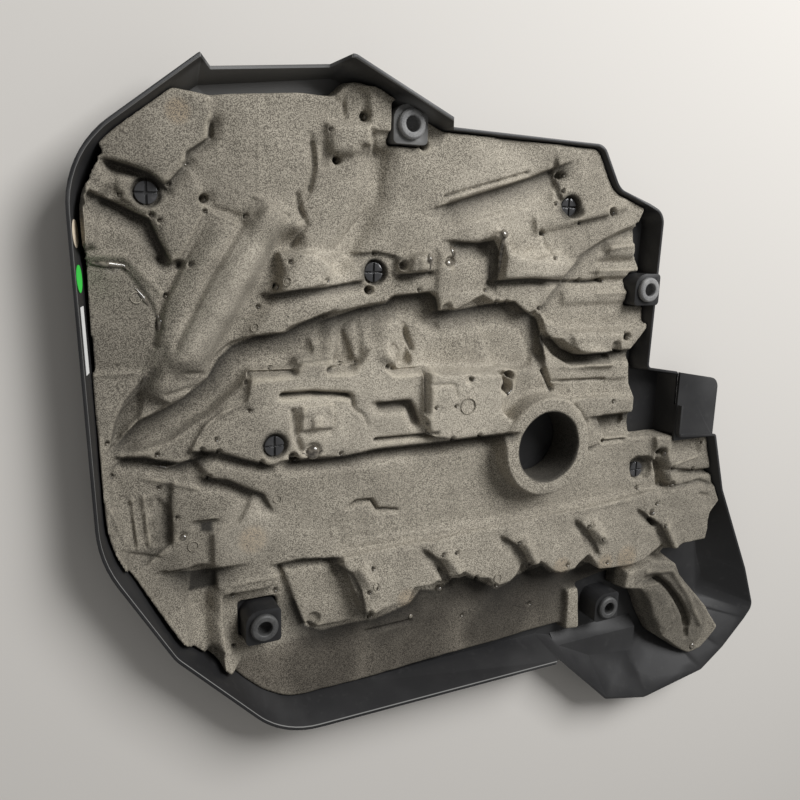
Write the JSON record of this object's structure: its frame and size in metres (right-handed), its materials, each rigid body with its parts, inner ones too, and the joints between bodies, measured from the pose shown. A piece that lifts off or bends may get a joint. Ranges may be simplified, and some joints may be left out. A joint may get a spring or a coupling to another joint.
{
  "type": "engine cover",
  "caption": "Moulded plastic engine cover seen from its underside, lined with a shaped sound-absorbing foam pad and held by rubber ball-stud grommets.",
  "frame": {"origin": "centre of the cover's box, on the flat outer face that it lies on", "axes": "+X along the coil row to the right of the picture, +Y towards the picture's top edge, +Z out of the foam towards the engine"},
  "size_m": [0.7532, 0.6596, 0.048],
  "materials": {
    "shell_plastic": "satin moulded plastic",
    "foam": "matt moulded polyurethane foam with a speckled skin",
    "grommet_rubber": "satin rubber",
    "retainer_plastic": "glossy plastic",
    "green_paper": "matt printed paper",
    "beige_paper": "matt paper",
    "white_paper": "matt paper"
  },
  "bodies": {
    "root": {"cover_shell": "shell_plastic", "foam_pad": "foam", "grommet_top": "grommet_rubber", "grommet_right": "grommet_rubber", "grommet_lower_left": "grommet_rubber", "grommet_lower_right": "grommet_rubber", "foam_retainers": "retainer_plastic", "inspection_dot_green": "green_paper", "inspection_dot_beige": "beige_paper", "label_strip": "white_paper"}
  },
  "joints": []
}
